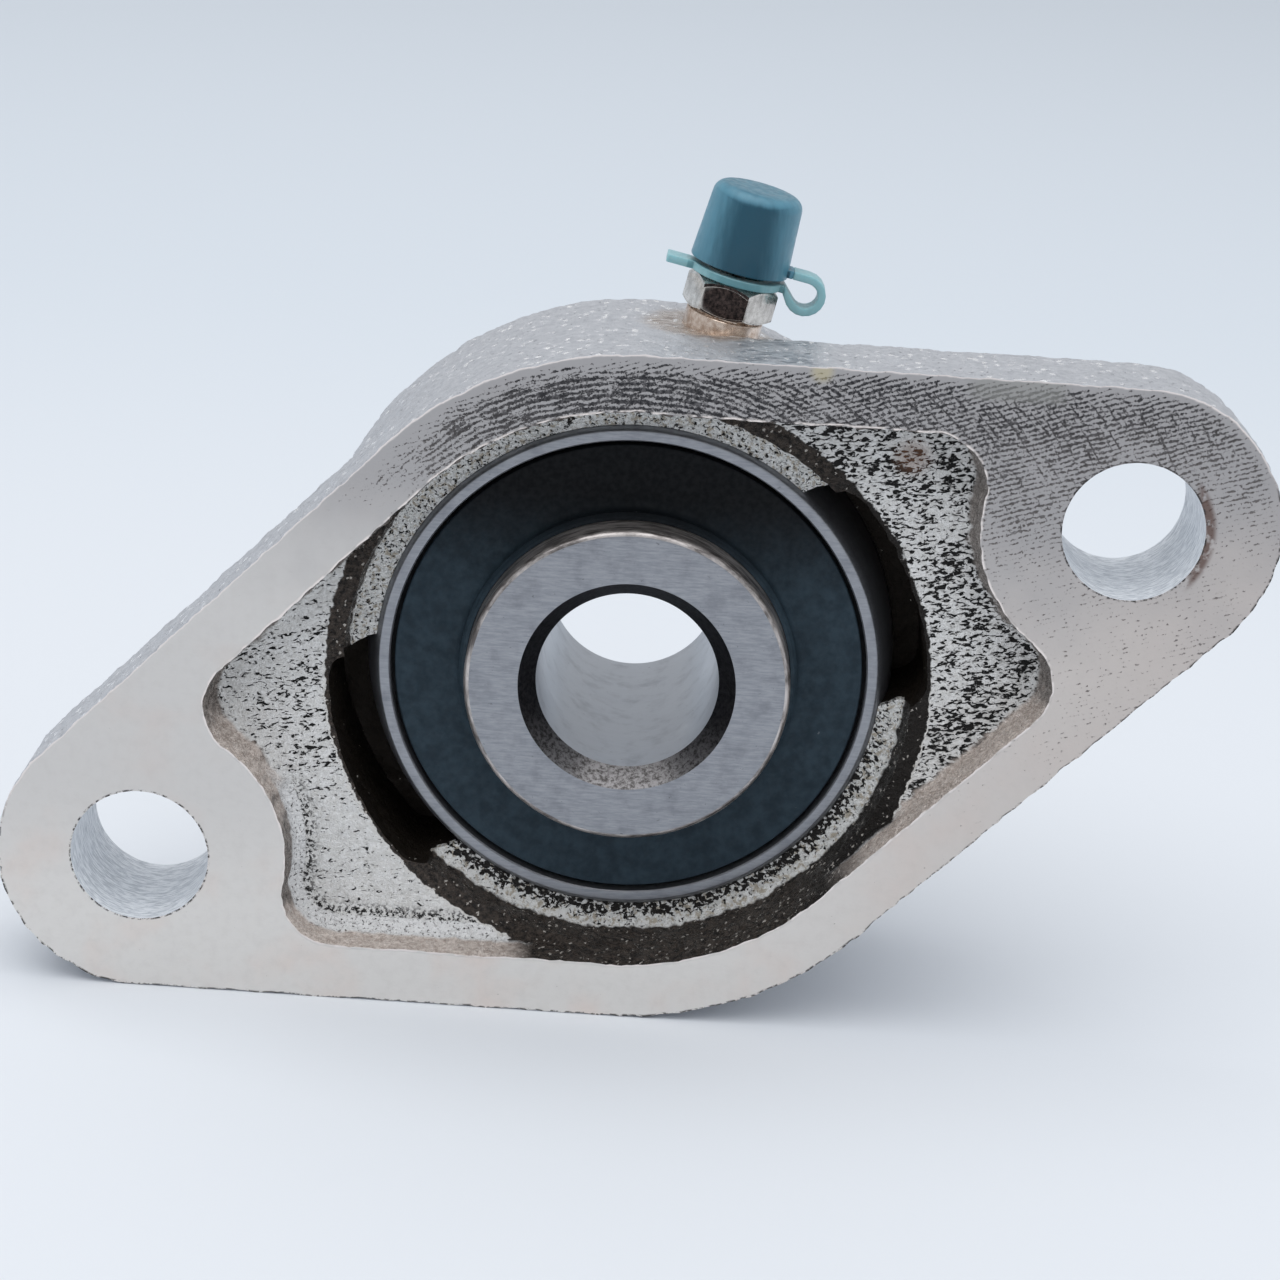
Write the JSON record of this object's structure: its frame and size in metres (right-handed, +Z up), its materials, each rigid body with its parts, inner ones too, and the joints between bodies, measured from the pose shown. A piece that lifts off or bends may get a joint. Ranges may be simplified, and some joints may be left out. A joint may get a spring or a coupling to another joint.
{
  "type": "two-bolt flange bearing",
  "caption": "Two-bolt flange bearing: plated cast housing with a recessed mounting face, a self-aligning ball bearing insert and a grease nipple under a tethered cap.",
  "frame": {"origin": "on the bore axis, in the plane of the mounting face", "axes": "+Y along the bore from the mounting face to the nose, +Z up, +X to the right as seen facing the mounting face; the straight lower edge of the flange is level"},
  "size_m": [0.1076, 0.0333, 0.0721],
  "materials": {
    "housing_casting": "nickel plated sand casting, ground mounting face",
    "ring_steel": "ground satin",
    "ball_steel": "polished",
    "cage_steel": "pressed strip, bright",
    "seal_rubber": "matte",
    "flinger_rubber": "matte dark blue-grey",
    "black_steel": "black oxide",
    "nipple_plating": "nickel plated, turned",
    "spring_wire": "drawn wire",
    "cap_plastic": "soft moulded polyethylene, translucent teal"
  },
  "bodies": {
    "housing_body": {"housing": "housing_casting", "grease_nipple": "nipple_plating", "nipple_spring": "spring_wire"},
    "insert_body": {"outer_ring": "ring_steel", "seal_back_core": "cage_steel", "seal_back_rubber": "seal_rubber", "seal_front_core": "cage_steel", "seal_front_rubber": "seal_rubber"},
    "shaft_body": {"inner_ring": "ring_steel", "flinger_back_disc": "cage_steel", "flinger_back_rubber": "flinger_rubber", "flinger_front_disc": "cage_steel", "flinger_front_rubber": "flinger_rubber"},
    "cage_body": {"cage_back": "cage_steel", "cage_front": "cage_steel", "cage_rivets": "cage_steel"},
    "ball_1_body": {"ball_1": "ball_steel"},
    "ball_2_body": {"ball_2": "ball_steel"},
    "ball_3_body": {"ball_3": "ball_steel"},
    "ball_4_body": {"ball_4": "ball_steel"},
    "ball_5_body": {"ball_5": "ball_steel"},
    "ball_6_body": {"ball_6": "ball_steel"},
    "ball_7_body": {"ball_7": "ball_steel"},
    "ball_8_body": {"ball_8": "ball_steel"},
    "set_screw_1_body": {"set_screw_1": "black_steel"},
    "set_screw_2_body": {"set_screw_2": "black_steel"},
    "check_ball_body": {"nipple_ball": "ball_steel"},
    "tether_body": {"cap_neck_ring": "cap_plastic", "cap_strap": "cap_plastic"},
    "cap_body": {"nipple_cap": "cap_plastic"}
  },
  "joints": [
    {"name": "self_align", "type": "hinge", "parent": "housing_body", "child": "insert_body", "pos_m": [0, 0.015, 0], "axis": [1, 0, 0], "range_deg": [-3, 3]},
    {"name": "inner_ring_spin", "type": "hinge", "parent": "insert_body", "child": "shaft_body", "pos_m": [0, 0.015, 0], "axis": [0, 1, 0], "continuous": true},
    {"name": "cage_turn", "type": "hinge", "parent": "insert_body", "child": "cage_body", "pos_m": [0, 0.015, 0], "axis": [0, 1, 0], "continuous": true},
    {"name": "ball_1_roll", "type": "hinge", "parent": "cage_body", "child": "ball_1_body", "pos_m": [0.01547, 0.015, 0.00641], "axis": [0, 1, 0], "continuous": true},
    {"name": "ball_2_roll", "type": "hinge", "parent": "cage_body", "child": "ball_2_body", "pos_m": [0.00641, 0.015, 0.01547], "axis": [0, 1, 0], "continuous": true},
    {"name": "ball_3_roll", "type": "hinge", "parent": "cage_body", "child": "ball_3_body", "pos_m": [-0.00641, 0.015, 0.01547], "axis": [0, 1, 0], "continuous": true},
    {"name": "ball_4_roll", "type": "hinge", "parent": "cage_body", "child": "ball_4_body", "pos_m": [-0.01547, 0.015, 0.00641], "axis": [0, 1, 0], "continuous": true},
    {"name": "ball_5_roll", "type": "hinge", "parent": "cage_body", "child": "ball_5_body", "pos_m": [-0.01547, 0.015, -0.00641], "axis": [0, 1, 0], "continuous": true},
    {"name": "ball_6_roll", "type": "hinge", "parent": "cage_body", "child": "ball_6_body", "pos_m": [-0.00641, 0.015, -0.01547], "axis": [0, 1, 0], "continuous": true},
    {"name": "ball_7_roll", "type": "hinge", "parent": "cage_body", "child": "ball_7_body", "pos_m": [0.00641, 0.015, -0.01547], "axis": [0, 1, 0], "continuous": true},
    {"name": "ball_8_roll", "type": "hinge", "parent": "cage_body", "child": "ball_8_body", "pos_m": [0.01547, 0.015, -0.00641], "axis": [0, 1, 0], "continuous": true},
    {"name": "set_screw_1_in", "type": "slide", "parent": "shaft_body", "child": "set_screw_1_body", "axis": [-0.866, 0, -0.5], "range_m": [-0.0015, 0.0005]},
    {"name": "set_screw_2_in", "type": "slide", "parent": "shaft_body", "child": "set_screw_2_body", "axis": [0.866, 0, -0.5], "range_m": [-0.0015, 0.0005]},
    {"name": "check_ball_lift", "type": "slide", "parent": "housing_body", "child": "check_ball_body", "axis": [-0.2041, 0, -0.979], "range_m": [0, 0.0008], "stiffness_N_per_m": 200, "springref_m": -0.0005, "deforming": ["nipple_spring"]},
    {"name": "tether_turn", "type": "hinge", "parent": "housing_body", "child": "tether_body", "pos_m": [0.00708, 0.015, 0.03397], "axis": [0.2041, 0, 0.979], "continuous": true},
    {"name": "cap_pull", "type": "slide", "parent": "tether_body", "child": "cap_body", "axis": [0.2041, 0, 0.979], "range_m": [0, 0.006], "deforming": ["cap_strap"]}
  ],
  "couplings": [
    {"joint": "cage_turn", "follows": "inner_ring_spin", "ratio": 0.38152},
    {"joint": "ball_1_roll", "follows": "inner_ring_spin", "ratio": -1.9916},
    {"joint": "ball_2_roll", "follows": "inner_ring_spin", "ratio": -1.9916},
    {"joint": "ball_3_roll", "follows": "inner_ring_spin", "ratio": -1.9916},
    {"joint": "ball_4_roll", "follows": "inner_ring_spin", "ratio": -1.9916},
    {"joint": "ball_5_roll", "follows": "inner_ring_spin", "ratio": -1.9916},
    {"joint": "ball_6_roll", "follows": "inner_ring_spin", "ratio": -1.9916},
    {"joint": "ball_7_roll", "follows": "inner_ring_spin", "ratio": -1.9916},
    {"joint": "ball_8_roll", "follows": "inner_ring_spin", "ratio": -1.9916}
  ]
}
